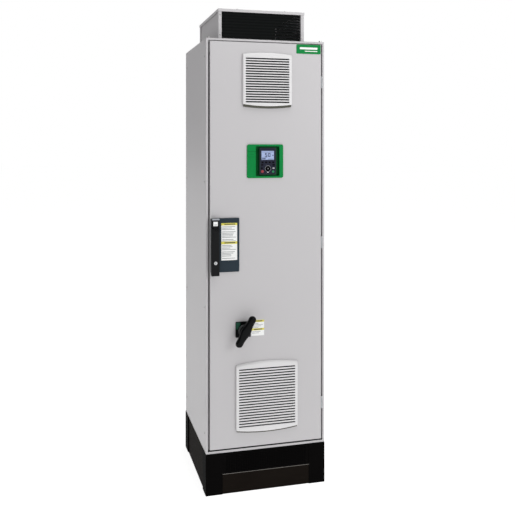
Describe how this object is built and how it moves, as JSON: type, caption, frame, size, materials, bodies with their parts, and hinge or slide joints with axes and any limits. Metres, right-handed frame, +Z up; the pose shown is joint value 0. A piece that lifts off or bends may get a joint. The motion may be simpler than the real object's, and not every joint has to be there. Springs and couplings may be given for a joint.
{
  "type": "variable frequency drive",
  "caption": "Floor-standing drive cabinet on a plinth, with a hinged door, filter grilles, keypad, lever lock, isolator handle and roof air outlet.",
  "frame": {"origin": "centre of the plinth's footprint, on the floor", "axes": "+Z up, -Y towards the door side, +X to the right seen from the door side"},
  "size_m": [0.604, 0.676, 2.364],
  "materials": {
    "cabinet_paint": "light grey textured powder coat",
    "plinth_paint": "black powder coat",
    "vent_black": "black painted louvre sheet",
    "galvanised_steel": "zinc plated sheet",
    "screw_steel": "zinc plated",
    "grey_plastic": "fine textured moulded plastic",
    "black_plastic": "semi-matt moulded plastic",
    "slate_plastic": "smooth moulded plastic",
    "green_plastic": "moulded plastic",
    "keypad_plastic": "smooth moulded plastic",
    "key_dark": "moulded key",
    "key_red": "moulded key",
    "key_green": "moulded key",
    "key_white": "moulded key",
    "gasket_rubber": "foamed seal",
    "filter_fabric": "non-woven mat",
    "aluminium": "extruded",
    "copper": "plated copper bar",
    "ceramic": "ceramic body",
    "module_grey": "dark grey plastic",
    "core_steel": "laminated and varnished",
    "winding": "varnished winding",
    "terminal_beige": "moulded terminals",
    "chrome": "polished"
  },
  "bodies": {
    "cabinet": {"plinth_corners": "plinth_paint", "plinth_panels": "plinth_paint", "plinth_vent_panel": "plinth_paint", "cabinet_frame": "cabinet_paint", "outer_panels": "cabinet_paint", "roof_panel": "cabinet_paint", "panel_screws": "screw_steel", "hood_frame": "cabinet_paint", "hood_top_cover": "cabinet_paint", "hood_louvres": "vent_black", "gland_plates": "galvanised_steel", "cable_glands": "black_plastic", "hinge_frame_leaves": "galvanised_steel", "hinge_pins": "screw_steel", "mounting_frame": "galvanised_steel", "air_duct": "galvanised_steel", "heatsink": "aluminium", "power_chassis": "galvanised_steel", "power_cover": "galvanised_steel", "control_block": "module_grey", "main_switch": "module_grey", "fuses": "ceramic", "busbars": "copper", "choke_core": "core_steel", "choke_windings": "winding", "terminal_strip": "terminal_beige", "lock_keepers": "galvanised_steel"},
    "door": {"door_panel": "cabinet_paint", "door_stiffeners": "galvanised_steel", "door_gasket": "gasket_rubber", "sign_plate": "green_plastic", "filter_grilles": "grey_plastic", "filter_housings": "grey_plastic", "filter_mats": "filter_fabric", "door_fan_frame": "black_plastic", "hmi_bezel": "green_plastic", "hmi_terminal": "keypad_plastic", "hinge_door_leaves": "galvanised_steel", "lock_plate": "slate_plastic", "isolator_faceplate": "black_plastic"},
    "lock_hub": {"lock_hub": "black_plastic"},
    "lock_lever": {"lock_lever": "black_plastic"},
    "lock_cylinder": {"lock_cylinder": "chrome"},
    "rod_upper": {"lock_rod_upper": "galvanised_steel"},
    "rod_lower": {"lock_rod_lower": "galvanised_steel"},
    "isolator_grip": {"isolator_handle": "black_plastic"},
    "isolator_shaft": {"isolator_shaft": "screw_steel"},
    "door_fan": {"door_fan_impeller": "black_plastic"},
    "duct_fan": {"duct_fan_impeller": "black_plastic"},
    "key_f1": {"key_f1": "key_dark"},
    "key_f2": {"key_f2": "key_dark"},
    "key_f3": {"key_f3": "key_dark"},
    "key_f4": {"key_f4": "key_dark"},
    "key_escape": {"key_escape": "key_dark"},
    "key_home": {"key_home": "key_dark"},
    "key_local_remote": {"key_local_remote": "key_dark"},
    "key_info": {"key_info": "key_white"},
    "key_stop": {"key_stop": "key_red"},
    "key_run": {"key_run": "key_green"},
    "key_ok": {"key_ok": "key_dark"}
  },
  "joints": [
    {"name": "door_swing", "type": "hinge", "parent": "cabinet", "child": "door", "pos_m": [0.2865, -0.3, 1.2], "axis": [0, 0, 1], "range_deg": [0, 120]},
    {"name": "isolator_turn", "type": "hinge", "parent": "door", "child": "isolator_grip", "pos_m": [-0.119, -0.32, 0.791], "axis": [0, 1, 0], "range_deg": [-30, 60]},
    {"name": "isolator_shaft_turn", "type": "hinge", "parent": "cabinet", "child": "isolator_shaft", "pos_m": [-0.119, -0.05, 0.791], "axis": [0, 1, 0], "range_deg": [-30, 60]},
    {"name": "handle_turn", "type": "hinge", "parent": "door", "child": "lock_hub", "pos_m": [-0.261, -0.32, 1.31], "axis": [0, -1, 0], "range_deg": [0, 90]},
    {"name": "handle_lift", "type": "hinge", "parent": "lock_hub", "child": "lock_lever", "pos_m": [-0.261, -0.328, 1.279], "axis": [-1, 0, 0], "range_deg": [0, 40]},
    {"name": "handle_lock", "type": "hinge", "parent": "lock_lever", "child": "lock_cylinder", "pos_m": [-0.261, -0.33, 1.122], "axis": [0, -1, 0], "range_deg": [0, 90]},
    {"name": "rod_upper_slide", "type": "slide", "parent": "door", "child": "rod_upper", "axis": [0, 0, -1], "range_m": [0, 0.022]},
    {"name": "rod_lower_slide", "type": "slide", "parent": "door", "child": "rod_lower", "axis": [0, 0, 1], "range_m": [0, 0.022]},
    {"name": "fan_door_spin", "type": "hinge", "parent": "door", "child": "door_fan", "pos_m": [0.0005, -0.24, 0.4595], "axis": [0, 1, 0], "continuous": true},
    {"name": "fan_duct_spin", "type": "hinge", "parent": "cabinet", "child": "duct_fan", "pos_m": [0, 0.161, 0.82], "axis": [0, 0, 1], "continuous": true},
    {"name": "key_f1_press", "type": "slide", "parent": "door", "child": "key_f1", "axis": [0, 1, 0], "range_m": [0, 0.001], "stiffness_N_per_m": 400},
    {"name": "key_f2_press", "type": "slide", "parent": "door", "child": "key_f2", "axis": [0, 1, 0], "range_m": [0, 0.001], "stiffness_N_per_m": 400},
    {"name": "key_f3_press", "type": "slide", "parent": "door", "child": "key_f3", "axis": [0, 1, 0], "range_m": [0, 0.001], "stiffness_N_per_m": 400},
    {"name": "key_f4_press", "type": "slide", "parent": "door", "child": "key_f4", "axis": [0, 1, 0], "range_m": [0, 0.001], "stiffness_N_per_m": 400},
    {"name": "key_escape_press", "type": "slide", "parent": "door", "child": "key_escape", "axis": [0, 1, 0], "range_m": [0, 0.001], "stiffness_N_per_m": 400},
    {"name": "key_home_press", "type": "slide", "parent": "door", "child": "key_home", "axis": [0, 1, 0], "range_m": [0, 0.001], "stiffness_N_per_m": 400},
    {"name": "key_local_remote_press", "type": "slide", "parent": "door", "child": "key_local_remote", "axis": [0, 1, 0], "range_m": [0, 0.001], "stiffness_N_per_m": 400},
    {"name": "key_info_press", "type": "slide", "parent": "door", "child": "key_info", "axis": [0, 1, 0], "range_m": [0, 0.001], "stiffness_N_per_m": 400},
    {"name": "key_stop_press", "type": "slide", "parent": "door", "child": "key_stop", "axis": [0, 1, 0], "range_m": [0, 0.001], "stiffness_N_per_m": 400},
    {"name": "key_run_press", "type": "slide", "parent": "door", "child": "key_run", "axis": [0, 1, 0], "range_m": [0, 0.001], "stiffness_N_per_m": 400},
    {"name": "key_ok_press", "type": "slide", "parent": "door", "child": "key_ok", "axis": [0, 1, 0], "range_m": [0, 0.001], "stiffness_N_per_m": 400}
  ],
  "couplings": [
    {"joint": "isolator_shaft_turn", "follows": "isolator_turn", "ratio": 1},
    {"joint": "rod_upper_slide", "follows": "handle_turn", "m_per_rad": 0.014},
    {"joint": "rod_lower_slide", "follows": "handle_turn", "m_per_rad": 0.014}
  ]
}
